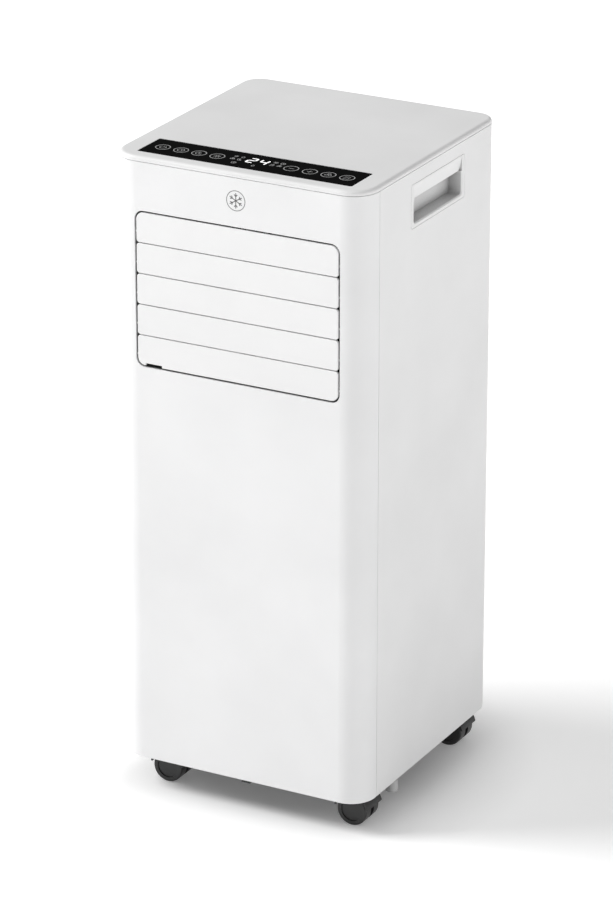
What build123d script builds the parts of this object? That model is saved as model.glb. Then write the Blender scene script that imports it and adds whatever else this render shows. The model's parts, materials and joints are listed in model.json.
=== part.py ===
from build123d import *

import math
import os

# A portable air conditioner: a tall single-hose unit with a five-blade front louvre, a touch
# panel on top, side grips, two fans, a refrigerant circuit and four twin-wheel casters.
# Millimetres. +Z is up, -Y is the front, and the origin is on the floor under the middle of
# the casing. Every function below the helpers returns one named sub-part.

# ---- casing: overall sizes
width = 290.0
depth = 296.0
height = 700.0
skirt_z = 35.0            # lower edge of the casing above the floor
wall = 2.5
front_corner_r = 28.0
rear_corner_r = 21.0
rear_return = 2.0         # how far the side panels reach onto the rear face
skirt_edge_r = 1.2
seam_setback = 30.7       # front face to the seam between front panel and side panels
seam_gap = 0.7
lap_gap = 0.4             # clearance behind a wall to a lip that laps it
lap_t = 1.5
lap_reach = 6.0
lap_pan_gap = 3.0         # top of the pan's rim to the lip
ledge_w = 5.0             # ribs inside the side walls that carry the drain tray
ledge_h = 4.0
ledge_y = (-60.0, 100.0)
rest_gap = 0.3            # between a piece and the one it stands on

# ---- top cover and control panel
cover_edge_h = 5.4        # visible edge of the cover
cover_edge_r = 4.0
cover_gap = 0.6
cover_t = 2.6
cover_lip_h = 8.0
touch_w = 243.0
touch_d = 46.0
touch_setback = 15.0      # front face to the front edge of the touch panel
touch_t = 1.3
touch_gap = 0.25
touch_sink = 0.3          # top surface down to the touch panel
touch_corner_r = 2.0
touch_ledge = 8.0         # shelf of the cover under the touch panel's edges
key_pitch = 20.9
key_first_x = 42.0
key_count_side = 4
board_t = 1.6
board_drop = 11.0         # top surface down to the top of the control board
board_inset = 1.0
board_post_r = 3.0
board_post_in = (5.0, 4.0)
spring_r = 4.0
spring_gap = 0.1          # touch panel down to its springs
socket_x = (70.0, 92.0)
socket_d = 8.0
socket_h = 6.0
display_w = 30.0
display_d = 13.0
display_gap = 0.6         # touch panel down to the display

# ---- air outlet and louvre
outlet_w = 234.0
outlet_h = 167.5
outlet_bottom_z = 475.5
outlet_corner_r = 10.0
outlet_gap = 2.0          # outlet edge to the blades
blade_count = 5
blade_gap = 1.0
blade_t = 2.4
blade_edge_r = 0.7
blade_corner_r = 3.0
blade_swing = 72.0        # degrees from closed to open
pivot_setback = 5.0       # front face to the blade pivots
pivot_rise = 10.0         # a blade's lower edge to its pivot
pivot_boss_r = 3.0
pivot_boss_l = 4.0
pin_r = 1.2
running_gap = 0.05        # radial clearance of a pin in its hole
notch_x = -96.5           # thumb notch in the lowest blade
notch_w = 19.0
notch_h = 2.6
frame_t = 2.0             # louvre frame wall
frame_clear = 0.5         # outlet edge to the inside of the frame
frame_front_gap = 0.5
frame_depth = 39.0
sill_slot_x = 50.0        # two drip slots in the frame's lower wall
sill_slot_w = 9.0
sill_slot_d = 3.0
sill_slot_in = 5.0        # front of the frame to the slots
crank_r = 10.0            # blade pivot to link pin
crank_t = 2.0
crank_gap = 0.4
crank_hub_r = 1.7
link_pin_r = 1.1
link_t = 2.0
link_w = 6.0
link_end = 5.0
layer_gap = 0.2           # sideways gap between crank, link and drive crank
motor_setback = 36.0      # front face to the swing motor's shaft
swing_motor_r = 12.0
swing_motor_l = 12.0
swing_shaft_r = 2.0
motor_ear_t = 2.0
motor_ear_reach = 20.0
motor_post_r = 2.5
motor_post_z = 16.0
motor_ear_w = 8.0
motor_edge = 1.0
swing_shaft_in = 4.0      # how far the crank's shaft reaches into the motor
swing_bore_in = 4.5

# ---- side grips
grip_w = 119.0            # flange outline, front to back
grip_h = 46.0
grip_y = 10.5
grip_z = 657.0
grip_corner_r = 3.0
grip_gap = 0.4
grip_hole_w = 107.0
grip_hole_h = 25.0
grip_hole_z = 651.0
grip_depth = 15.5
grip_inner_r = 4.0
grip_hole_r = 3.5
grip_rim = 1.2            # bevel around the hole
grip_wall = 2.0
grip_scoop = 3.0          # how far the lip above the hole slopes inwards
grip_undercut = 8.0       # how far the pocket reaches up behind that lip

# ---- rear grilles and hose port
grille_w = 216.0
grille_gap = 0.6
grille_t = 3.0
grille_frame = 7.0
grille_corner_r = 6.0
bar_pitch = 9.0
bar_h = 4.0
bar_sink = 0.4            # rear face to the bars
brace_xs = (-60.0, 0.0, 60.0)
brace_w = 3.0
brace_t = 2.0             # upright braces behind the bars
brace_bite = 0.5          # how far they run into the bars
brace_past = 4.0          # window to the ends of a brace
upper_grille_z = (471.0, 664.0)
lower_grille_lift = 2.0   # base pan's rim to the lower grille
lower_grille_h = 208.0
filter_t = 1.2
filter_in = 3.0           # edge of the grille to the edge of the filter
filter_gap = 0.2          # braces to the filter
filter_rim = 5.0
filter_cell = 18.0
filter_strand = 0.8
port_r = 70.0
port_t = 3.0
port_z = 374.0
port_gap = 0.6
port_notch_w = 14.0
port_notch_depth = 1.6
port_notch_l = 6.5
port_sink = 0.4           # rear face to the collar's rim

# ---- base, tray and casters
pan_lift = 5.2            # top of a caster's hood to the pan
pan_t = 2.5
pan_gap = 0.5
pan_rim_t = 2.0
pan_rim_h = 30.0
caster_x = 110.0
caster_y = 110.0
wheel_r = 17.0
wheel_t = 11.5
wheel_inner = 3.2         # middle plane to a wheel's inner face
wheel_edge_r = 2.0
wheel_dish_r = 12.0
wheel_dish = 1.2
caster_trail = 10.0
hood_web_t = 5.0
hood_web_r = 14.0
hood_gap = 1.0
hood_t = 2.0
hood_half_w = 16.0
hood_crown = 1.8          # flat top plate above the hood's curve
hood_boss_r = 7.0
stem_r = 5.0
stem_grip = 18.0          # pan underside to the top of a caster's stem
axle_r = 2.0
axle_half_l = 13.0
press_gap = 0.02
socket_r = 9.0
socket_gap = 0.1
socket_lift = 0.7         # top of the hood to the socket's lower edge
socket_roof = 4.0         # top of the stem to the top of the socket
stem_end_gap = 1.5
drain_x = 134.0
drain_y = -61.0
nozzle_r = 4.5
nozzle_bore_r = 3.0
nozzle_bottom_z = 20.0
plug_wall = 2.0
plug_lap = 10.0
catch_x = 6.0
catch_w = 10.0
catch_z = 31.5
catch_d = 4.0
coil_pad_xs = (-90.0, 0.0, 90.0)
coil_pad_half = 4.0
coil_pad_in = 2.0         # faces of the condenser to its pads
fan_rib_x = 40.0          # middle of the exhaust fan to the two ribs that cradle its scroll
fan_rib_half = 3.0
fan_rib_in = 4.0
fan_rib_drop = 70.0       # middle of the exhaust fan down to the ribs' tops, before the fit
tray_z = 452.0
tray_t = 2.5
tray_rim_h = 15.0
tray_inset = 4.5
tray_front_y = -100.0
pipe_slot_y = (44.0, 88.0)
pipe_slot_x = -118.0

# ---- finger guard at the mouth of the outlet duct
duct_gap = 0.3            # duct to the louvre frame and to the scroll
guard_bars = 15
guard_bar = 2.0
guard_t = 3.0
guard_rail_z = 40.0       # middle of the outlet to each level bar

# ---- fans
blower_y = 5.0
blower_z = 545.0
blower_r = 62.0
blower_half_w = 66.0
scroll_half_w = 75.0
scroll_t = 2.0
scroll_r0 = 70.0
scroll_growth = 22.0      # radius gained over three quarters of a turn
scroll_front_y = -72.0
scroll_inlet_r = 52.0
exhaust_x = 20.0
exhaust_z = 185.0
exhaust_r = 65.0
exhaust_y = (47.0, 89.0)
exhaust_scroll_y = (40.0, 98.0)
exhaust_r0 = 73.0
exhaust_inlet_r = 56.0
wheel_ring_w = 6.0
fan_blade_count = 26
fan_blade_t = 1.2
fan_blade_chord = 4.8
fan_blade_in = 3.4        # wheel's rim to the middle of a blade
fan_blade_turn = 25.0
fan_plate_t = 2.0
fan_hub_r = 9.0
fan_hub_l = 24.0
hub_clear = 3.0           # fan hub to the scroll's hole around it
scroll_foot_x = (55.0, 65.0)
scroll_foot_y = (-15.0, 25.0)
shaft_r = 4.0
shaft_depth = 15.0        # how far a shaft reaches into its motor
shaft_end_gap = 1.0
blower_motor_r = 36.0
blower_motor_x = (84.0, 124.0)
exhaust_motor_r = 40.0
exhaust_motor_y = (4.0, 36.0)
motor_edge_r = 4.0
arm_t = 3.0               # the blower motor's three arms and their feet
arm_w = 8.0
arm_foot_d = 6.0
arm_foot_out = 9.0        # edge of the scroll's inlet to the middle of a foot
stud_r = 4.0              # the exhaust motor's three studs
stud_out = 34.0
duct_x = (-80.0, 120.0)
duct_y = (36.0, 118.0)
duct_z = (298.0, 450.0)

# ---- coils
coil_half_w = 106.0
coil_t = 28.0
fin_pitch = 7.0
fin_t = 0.6
end_plate_t = 1.2
tube_r = 4.0
tube_gap = 0.05
bend_reach = 9.0          # end plate to the far side of the return bends
tube_pitch = 20.0
evaporator_in = 48.0      # rear face to the fins' front
evaporator_top_z = 664.0
evaporator_lift = 0.5      # tray floor to the fins
condenser_in = 44.0
condenser_lift = 29.5     # pan floor to the fins
condenser_h = 210.0

# ---- compressor, pipes and electrics
comp_x, comp_y = -78.0, -72.0
comp_r = 52.0
comp_lift = 25.5          # pan floor to the can
comp_h = 190.0
comp_wall = 3.0
comp_dome_r = 18.0
pump_h = 120.0
foot_t = 3.0
foot_out = 6.0            # side of the can to the feet's screws
foot_r = 10.0
grommet_r = 9.0
accumulator_x, accumulator_y = 2.0, -88.0
accumulator_r = 22.0
accumulator_lift = 26.0   # bottom of the compressor's can to the accumulator
accumulator_h = 117.0
pipe_r = 4.0
capillary_r = 1.5
box_x = (5.0, 132.0)
box_y = (-139.0, -92.0)
box_z = (285.0, 440.0)
box_t = 2.0
capacitor_r = 19.0
capacitor_h = 62.0

# ---- screws
screw_r = 1.9
screw_head_r = 3.6
screw_head_h = 2.4
screw_l = 12.0
screw_gap = 0.2
cup_r = 6.0
cup_bore_r = 4.4
cup_depth = 8.0
cup_floor_t = 2.0
cup_x = 115.2
cup_zs = (130.0, 300.0, 430.0, 560.0, 675.0)
rail_w = 12.0             # side panels' rails that the rear panel's screws bite into
rail_d = 13.0
rail_top_z = 684.0
rail_wall = 2.0
rail_boss_r = 4.5
rail_rib_t = 3.0          # ribs from a rail to its side wall
rail_gap = 0.5            # rail to the tray around it
frame_post_in = 17.0      # side of the outlet to the screws above and below it
frame_post_r = 3.5
frame_post_out = 5.5      # frame's outer face to the screw axis
frame_ear_t = 3.0
frame_ear_half_w = 5.0
frame_ear_past = 4.0      # screw axis to the ear's outer edge
frame_post_l = 10.5
gland_x, gland_z = 96.0, 308.0
gland_r = 8.0
gland_bore_r = 4.0
gland_l = 9.7
gland_sink = 0.3          # rear face to the bush
gland_flange_t = 3.0
gland_flange_out = 3.0

# ---- places worked out from the sizes above
half_w = width / 2
rear_split_x = half_w - rear_corner_r - rear_return
front_y = -depth / 2
rear_y = depth / 2
seam_y = front_y + seam_setback
casing_top = height - cover_edge_h - cover_gap
outlet_top_z = outlet_bottom_z + outlet_h
outlet_mid_z = outlet_bottom_z + outlet_h / 2
blade_w = outlet_w - 2 * outlet_gap
blade_pitch = (outlet_h - 2 * outlet_gap + blade_gap) / blade_count
blade_h = blade_pitch - blade_gap
pivot_y = front_y + pivot_setback
frame_half_w = outlet_w / 2 + frame_clear
frame_z = (outlet_bottom_z - frame_clear, outlet_top_z + frame_clear)
frame_front_y = front_y + wall + frame_front_gap
frame_rear_y = frame_front_y + frame_depth
crank_x = frame_half_w + frame_t + crank_gap
link_x = crank_x + crank_t + layer_gap
drive_x = link_x + link_t + layer_gap
motor_x = drive_x + crank_t + crank_gap
motor_y = front_y + motor_setback
crank_dy = crank_r * math.cos(math.radians(blade_swing / 2))
crank_dz = crank_r * math.sin(math.radians(blade_swing / 2))
touch_y = front_y + touch_setback + touch_d / 2
touch_z = height - touch_sink - touch_t
board_z = height - board_drop - board_t
tongue_z = blower_z + 8.0
scroll_top_z = blower_z + scroll_r0 + scroll_growth
tongue_x = exhaust_x + 15.0
axle_z = wheel_r
hood_top_z = axle_z + wheel_r + hood_gap + hood_t + hood_crown
pan_z = hood_top_z + pan_lift
pan_floor_z = pan_z + pan_t
pan_rim_z = pan_z + pan_rim_h
lower_grille_z = (pan_rim_z + lower_grille_lift, pan_rim_z + lower_grille_lift + lower_grille_h)
stem_top_z = pan_z + stem_grip
socket_z = (hood_top_z + socket_lift, stem_top_z + socket_roof)
condenser_z = (pan_floor_z + condenser_lift, pan_floor_z + condenser_lift + condenser_h)
comp_z = (pan_floor_z + comp_lift, pan_floor_z + comp_lift + comp_h)
accumulator_z = (comp_z[0] + accumulator_lift, comp_z[0] + accumulator_lift + accumulator_h)
foot_reach = comp_r + foot_out
cup_floor_y = rear_y - cup_depth
frame_post_x = outlet_w / 2 - frame_post_in
evaporator_y = rear_y - evaporator_in
condenser_y = rear_y - condenser_in
evaporator_z = (tray_z + tray_t + evaporator_lift, evaporator_top_z)
rail_y = (cup_floor_y - cup_floor_t - rest_gap - rail_d, cup_floor_y - cup_floor_t - rest_gap)


# ---- shape helpers
def block(x0, x1, y0, y1, z0, z1):
    """A box between two corners."""
    middle = Pos((x0 + x1) / 2, (y0 + y1) / 2, (z0 + z1) / 2)
    return middle * Box(x1 - x0, y1 - y0, z1 - z0)


def rod_x(r, x0, x1, y, z):
    return Pos((x0 + x1) / 2, y, z) * Rot(0, 90, 0) * Cylinder(r, x1 - x0)


def rod_y(r, y0, y1, x, z):
    return Pos(x, (y0 + y1) / 2, z) * Rot(90, 0, 0) * Cylinder(r, y1 - y0)


def rod_z(r, z0, z1, x, y):
    return Pos(x, y, (z0 + z1) / 2) * Cylinder(r, z1 - z0)


def plate_xz(sketch, y0, y1):
    """Extrudes a sketch drawn in X and Z from y0 to y1."""
    return Pos(0, y1, 0) * Plane.XZ.location * extrude(sketch, y1 - y0)


def plate_yz(sketch, x0, x1):
    """Extrudes a sketch drawn in Y and Z from x0 to x1."""
    return Pos(x0, 0, 0) * Plane.YZ.location * extrude(sketch, x1 - x0)


def plan(inset):
    """The casing's outline seen from above, moved inwards."""
    sketch = Rectangle(width - 2 * inset, depth - 2 * inset)
    sketch = fillet(sketch.vertices().group_by(Axis.Y)[0], front_corner_r - inset)
    return fillet(sketch.vertices().group_by(Axis.Y)[-1], rear_corner_r - inset)


def prism(inset, z0, z1):
    return Pos(0, 0, z0) * extrude(plan(inset), z1 - z0)


def ring_prism(inset, thickness, z0, z1):
    """A wall of the casing's outline."""
    return prism(inset, z0, z1) - prism(inset + thickness, z0 - 1, z1 + 1)


def slab_y(y0, y1):
    """Everything between two planes across Y."""
    return block(-width, width, y0, y1, -height, 2 * height)


def pipe(points, radii, r):
    """A round bar along straight runs joined by tangent arcs."""
    path = FilletPolyline(*points, radius=radii)
    section = Plane(origin=path @ 0, z_dir=path % 0) * Circle(r)
    return sweep(section, path=path)


def blade_bottom(i):
    """Lower edge of blade i, where 0 is the top one."""
    return outlet_top_z - outlet_gap - blade_h - i * blade_pitch


def pivot_z(i):
    return blade_bottom(i) + pivot_rise


def joined(first, others):
    """One solid out of touching pieces."""
    whole = first
    for other in others:
        whole = whole + other
    return whole


# ---- casing
def casing_shell():
    outer = prism(0, skirt_z, casing_top)
    outer = fillet(outer.edges().group_by(Axis.Z)[0], skirt_edge_r)
    return outer - prism(wall, skirt_z - 1, casing_top + 1)


def frame_posts():
    """Places of the four screws that hold the louvre frame: x, z and which way is outwards."""
    top = frame_z[1] + frame_t + frame_post_out
    bottom = frame_z[0] - frame_t - frame_post_out
    return [(sx * frame_post_x, z, out) for sx in (-1, 1) for z, out in ((top, 1), (bottom, -1))]


def front_panel():
    shell = casing_shell() & slab_y(front_y - 1, seam_y - seam_gap / 2)
    opening = Pos(0, outlet_mid_z) * RectangleRounded(outlet_w, outlet_h, outlet_corner_r)
    panel = shell - plate_xz(opening, front_y - 1, front_y + wall + 1)
    rear = front_y + wall + frame_post_l
    for x, z, _ in frame_posts():
        panel = panel + rod_y(frame_post_r, front_y + wall / 2, rear, x, z)
        panel = panel - rod_y(screw_r + screw_gap / 2, front_y + wall + 1, rear + 1, x, z)
    return panel


def lap(reach, root, z0, z1):
    """A lip that runs behind the next panel's edge, within reach, from its root on this panel."""
    lip = ring_prism(wall + lap_gap, lap_t, z0, z1) & reach
    base = ring_prism(wall - 0.5, lap_gap + lap_t + 0.5, z0, z1) & root
    return lip + base


def tray_ledge():
    """The rib inside the right side wall, just under the drain tray."""
    z1 = tray_z - rest_gap
    return block(half_w - wall - ledge_w, half_w - wall / 2, *ledge_y, z1 - ledge_h, z1)


def rear_rail():
    """The upright channel inside the right rear corner that the rear panel is screwed to."""
    x0, x1 = cup_x - rail_w / 2, cup_x + rail_w / 2
    y0, y1 = rail_y
    rail = block(x0, x1, y0, y1, pan_floor_z + rest_gap, rail_top_z)
    rail = rail - block(x0 + rail_wall, x1 - rail_wall, y0 - 1, y1 - rail_wall,
                        pan_floor_z + rest_gap + rail_wall, rail_top_z - rail_wall)
    for z in cup_zs:
        low, high = z - rail_rib_t / 2, z + rail_rib_t / 2
        rib = block(x1 - rail_wall, half_w, y0, y1, low, high) & prism(wall / 2, low, high)
        rail = rail + rib + rod_y(rail_boss_r, y0, y1 - rail_wall / 2, cup_x, z)
        rail = rail - rod_y(screw_r + screw_gap / 2, y0 - 1, y1 + 1, cup_x, z)
    return rail


def side_panel(side):
    """A side wall with its rear corner; side is 1 on the right and -1 on the left."""
    y0 = seam_y + seam_gap / 2
    whole = block(0, width, y0, rear_y + 1, 0, height)
    middle = block(0, rear_split_x + seam_gap / 2, 0, rear_y + 1, 0, height)
    shell = casing_shell() & (whole - middle)
    reach = block(0, width, seam_y - lap_reach, y0 + 1, 0, height)
    root = block(0, width, y0, y0 + lap_reach, 0, height)
    shell = shell + lap(reach, root, pan_rim_z + lap_pan_gap, casing_top - cover_lip_h - lap_pan_gap)
    shell = shell + tray_ledge() + rear_rail()
    hole = Pos(grip_y, grip_z) * RectangleRounded(
        grip_w + 2 * grip_gap, grip_h + 2 * grip_gap, grip_corner_r + grip_gap)
    shell = shell - plate_yz(hole, 0, half_w + 1)
    return shell if side > 0 else mirror(shell, Plane.YZ)


def grille_opening(z_range):
    z0, z1 = z_range
    sketch = Pos(0, (z0 + z1) / 2) * RectangleRounded(
        grille_w + 2 * grille_gap, z1 - z0 + 2 * grille_gap, grille_corner_r)
    return plate_xz(sketch, rear_y - wall - 2, rear_y + 1)


def rear_panel():
    """The flat rear wall, with a lip behind each side panel's edge and ten screw cups."""
    edge = rear_split_x - seam_gap / 2
    panel = casing_shell() & block(-edge, edge, 0, rear_y + 1, 0, height)
    z0 = pan_rim_z + lap_pan_gap
    z1 = casing_top - cover_lip_h - lap_pan_gap
    reach = block(edge - 1, edge + lap_reach, 0, rear_y, 0, height)
    root = block(edge - lap_t, edge, 0, rear_y, 0, height)
    lip = lap(reach, root, z0, z1)
    panel = panel + lip + mirror(lip, Plane.YZ)
    panel = panel - grille_opening(upper_grille_z) - grille_opening(lower_grille_z)
    panel = panel - rod_y(port_r + port_t + port_gap, rear_y - wall - 2, rear_y + 1, 0, port_z)
    panel = panel - rod_y(gland_r + screw_gap, rear_y - wall - 2, rear_y + 1, gland_x, gland_z)
    for sx in (-1, 1):
        for z in cup_zs:
            x = sx * cup_x
            panel = panel + rod_y(cup_r, cup_floor_y - cup_floor_t, rear_y - wall / 2, x, z)
            panel = panel - rod_y(cup_bore_r, cup_floor_y, rear_y + 1, x, z)
            panel = panel - rod_y(screw_r + screw_gap, cup_floor_y - 5, rear_y, x, z)
    return panel


def top_cover():
    z0 = height - cover_edge_h
    outer = prism(0, z0, height)
    outer = fillet(outer.edges().group_by(Axis.Z)[-1], cover_edge_r)
    cover = outer - prism(wall, z0 - 1, height - cover_t)
    lip_z = casing_top - cover_lip_h
    cover = cover + ring_prism(wall + lap_gap, lap_t, lip_z, height - cover_t + 0.1)
    recess = Pos(0, touch_y) * RectangleRounded(
        touch_w + 2 * touch_gap, touch_d + 2 * touch_gap, touch_corner_r)
    cover = cover - Pos(0, 0, touch_z) * extrude(recess, touch_t + 1)
    window = Pos(0, touch_y) * Rectangle(touch_w - 2 * touch_ledge, touch_d - 2 * touch_ledge)
    cover = cover - Pos(0, 0, height - 2 * cover_t) * extrude(window, 2 * cover_t)
    for x, y in board_posts():
        cover = cover + rod_z(board_post_r, board_z + board_t, height - cover_t + 0.1, x, y)
    return cover


def board_posts():
    """Places of the posts that carry the control board."""
    dx, dy = touch_w / 2 - board_post_in[0], touch_d / 2 - board_post_in[1]
    return [(sx * dx, touch_y + sy * dy) for sx in (-1, 1) for sy in (-1, 1)]


def touch_panel():
    sheet = Pos(0, touch_y) * RectangleRounded(touch_w, touch_d, touch_corner_r)
    return Pos(0, 0, touch_z) * extrude(sheet, touch_t)


def key_places():
    """X of each touch key, four on each side of the display."""
    return [s * (key_first_x + k * key_pitch) for s in (-1, 1) for k in range(key_count_side)]


def control_board():
    """The printed board, its touch springs and its ribbon socket."""
    half_x, half_y = touch_w / 2 - board_inset, touch_d / 2 - board_inset
    board = block(-half_x, half_x, touch_y - half_y, touch_y + half_y, board_z, board_z + board_t)
    springs = [rod_z(spring_r, board_z + board_t, touch_z - spring_gap, x, touch_y)
               for x in key_places()]
    socket = block(*socket_x, touch_y - socket_d / 2, touch_y + socket_d / 2,
                   board_z - socket_h, board_z)
    return Compound([board, *springs, socket])


def display_module():
    z0 = board_z + board_t
    return block(-display_w / 2, display_w / 2, touch_y - display_d / 2, touch_y + display_d / 2,
                 z0, touch_z - display_gap)


# ---- side grips
def grip_hole(extra):
    """The hand hole's outline in Y and Z, made wider all round."""
    outline = RectangleRounded(grip_hole_w + 2 * extra, grip_hole_h + 2 * extra, grip_hole_r + extra)
    return Pos(grip_y, grip_hole_z) * outline


def grip(side):
    """A moulded pocket; side is 1 on the right and -1 on the left."""
    x_out = half_w
    x_in = half_w - grip_depth
    flange = plate_yz(Pos(grip_y, grip_z) * RectangleRounded(grip_w, grip_h, grip_corner_r),
                      x_out - wall, x_out)
    z0 = grip_hole_z - grip_hole_h / 2
    z1 = grip_hole_z + grip_hole_h / 2
    y0 = grip_y - grip_hole_w / 2
    y1 = grip_y + grip_hole_w / 2
    pocket_top = z1 + grip_undercut
    shell = block(x_in - grip_wall, x_out - wall + 0.5, y0 - grip_wall, y1 + grip_wall,
                  z0 - grip_wall, pocket_top + grip_wall)
    shell = fillet(shell.edges().filter_by(Axis.X), grip_corner_r)
    body = flange + shell
    hole = plate_yz(grip_hole(0), x_in, x_out + 1)
    narrow = Pos(x_out - grip_rim, 0, 0) * Plane.YZ.location * grip_hole(0)
    wide = Pos(x_out, 0, 0) * Plane.YZ.location * grip_hole(grip_rim)
    bevel = loft([narrow, wide])
    lip_x = x_out - wall - grip_scoop
    inside = block(x_in, lip_x - 0.5, y0, y1, z0, pocket_top)
    inside = fillet(inside.edges().filter_by(Axis.X), grip_inner_r)
    lip = block(lip_x - 0.5, x_out - wall + 0.1, y0 - grip_wall, y1 + grip_wall, z1, pocket_top + grip_wall)
    body = (body + lip) - inside - hole - bevel
    scoop_top = grip_z + grip_h / 2 - 1.5
    scoop = Polyline((x_out + 1, scoop_top), (x_out, scoop_top), (x_out - grip_scoop, z1 - 0.1),
                     (x_out + 1, z1 - 0.1), close=True)
    cut = extrude(Plane.XZ * make_face(scoop), grip_hole_w, dir=(0, 1, 0))
    body = body - Pos(0, y0, 0) * cut
    return body if side > 0 else mirror(body, Plane.YZ)


# ---- louvre
def blade_face(i):
    """Front outline of blade i: the end blades follow the outlet's corners."""
    big = outlet_corner_r - outlet_gap
    top_r = big if i == 0 else blade_corner_r
    bottom_r = big if i == blade_count - 1 else blade_corner_r
    sketch = Rectangle(blade_w, blade_h)
    sketch = fillet(sketch.vertices().group_by(Axis.Y)[-1], top_r)
    sketch = fillet(sketch.vertices().group_by(Axis.Y)[0], bottom_r)
    return Pos(0, blade_bottom(i) + blade_h / 2) * sketch


def crank(x0, y, z):
    """A crank arm from a shaft at y, z to its pin, half the swing above level."""
    arm = Pos(0, crank_r / 2, 0) * Box(crank_t, crank_r, 2 * crank_hub_r)
    arm = Pos(-x0 - crank_t / 2, y, z) * Rot(blade_swing / 2, 0, 0) * arm
    hub = rod_x(crank_hub_r, -x0 - crank_t, -x0, y, z)
    tip = rod_x(crank_hub_r, -x0 - crank_t, -x0, y + crank_dy, z + crank_dz)
    return arm + hub + tip


def louver(i):
    """One blade with its end pivots and, on the left, the crank that the link drives."""
    blade = plate_xz(blade_face(i), front_y, front_y + blade_t)
    blade = fillet(blade.faces().sort_by(Axis.Y)[0].edges(), blade_edge_r)
    z = pivot_z(i)
    end = blade_w / 2
    for s in (-1, 1):
        boss = sorted((s * (end - blade_corner_r - pivot_boss_l), s * (end - blade_corner_r)))
        blade = blade + rod_x(pivot_boss_r, *boss, pivot_y, z)
    blade = blade + rod_x(pin_r, end - blade_corner_r - 1, frame_half_w + frame_t, pivot_y, z)
    blade = blade + rod_x(pin_r, -crank_x - 0.5, -end + blade_corner_r + 1, pivot_y, z)
    blade = blade + crank(crank_x, pivot_y, z)
    pin = rod_x(link_pin_r, -link_x - link_t, -crank_x - 0.5, pivot_y + crank_dy, z + crank_dz)
    blade = blade + pin
    if i == blade_count - 1:
        low = blade_bottom(i)
        blade = blade - block(notch_x - notch_w / 2, notch_x + notch_w / 2, front_y - 1,
                              front_y + blade_t + 1, low - 1, low + notch_h)
    return blade


def louver_frame():
    """The box that carries the blade pivots, with ears for its screws and posts for the motor."""
    w, (z0, z1), t = frame_half_w, frame_z, frame_t
    body = block(-w - t, w + t, frame_front_y, frame_rear_y, z0 - t, z1 + t)
    body = body - block(-w, w, frame_front_y - 1, frame_rear_y + 1, z0, z1)
    slot = pin_r + running_gap
    for i in range(blade_count):
        z = pivot_z(i)
        body = body - rod_x(slot, -w - t - 1, w + t + 1, pivot_y, z)
        for s in (-1, 1):
            x0, x1 = sorted((s * (w - 1), s * (w + t + 1)))
            body = body - block(x0, x1, frame_front_y - 1, pivot_y, z - slot, z + slot)
    rear = front_y + wall + frame_post_l
    for x, z, out in frame_posts():
        edge = z - out * frame_post_out
        low, high = sorted((edge - out * t, z + out * frame_ear_past))
        ear = block(x - frame_ear_half_w, x + frame_ear_half_w, rear, rear + frame_ear_t, low, high)
        body = body + ear - rod_y(screw_r + screw_gap, rear - 1, rear + frame_ear_t + 1, x, z)
    slot_y = frame_front_y + sill_slot_in
    for s in (-1, 1):
        x0, x1 = s * sill_slot_x - sill_slot_w / 2, s * sill_slot_x + sill_slot_w / 2
        body = body - block(x0, x1, slot_y, slot_y + sill_slot_d, z0 - t - 1, z0 + 1)
    mid = pivot_z(blade_count // 2)
    for s in (-1, 1):
        z = mid + s * motor_post_z
        body = body + rod_x(motor_post_r, -motor_x, -w - t + 0.1, motor_y, z)
    return body


def louver_link():
    """The bar that joins the five cranks, with an arm back to the drive crank."""
    y = pivot_y + crank_dy
    zs = [pivot_z(i) + crank_dz for i in range(blade_count)]
    x0, x1 = -link_x - link_t, -link_x
    bar = block(x0, x1, y - link_w / 2, y + link_w / 2, zs[-1] - link_end, zs[0] + link_end)
    mid = zs[blade_count // 2]
    drive_y = motor_y + crank_dy
    bar = bar + block(x0, x1, y, drive_y + link_end, mid - link_w / 2, mid + link_w / 2)
    for z in zs:
        bar = bar - rod_x(link_pin_r + running_gap, x0 - 1, x1 + 1, y, z)
    return bar - rod_x(link_pin_r + running_gap, x0 - 1, x1 + 1, drive_y, mid)


def swing_crank():
    """The motor's crank, its shaft and the pin in the link."""
    z = pivot_z(blade_count // 2)
    body = crank(drive_x, motor_y, z)
    body = body + rod_x(swing_shaft_r, -motor_x - swing_shaft_in, -drive_x - 0.5, motor_y, z)
    pin = rod_x(link_pin_r, -drive_x - 0.5, -link_x, motor_y + crank_dy, z + crank_dz)
    return body + pin


def swing_motor():
    z = pivot_z(blade_count // 2)
    body = rod_x(swing_motor_r, -motor_x - swing_motor_l, -motor_x, motor_y, z)
    body = fillet(body.edges().group_by(Axis.X)[0], motor_edge)
    ears = block(-motor_x - motor_ear_t, -motor_x, motor_y - motor_ear_w / 2,
                 motor_y + motor_ear_w / 2, z - motor_ear_reach, z + motor_ear_reach)
    shaft_hole = rod_x(swing_shaft_r + running_gap, -motor_x - swing_bore_in, -motor_x + 1,
                       motor_y, z)
    return body + ears - shaft_hole


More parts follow.
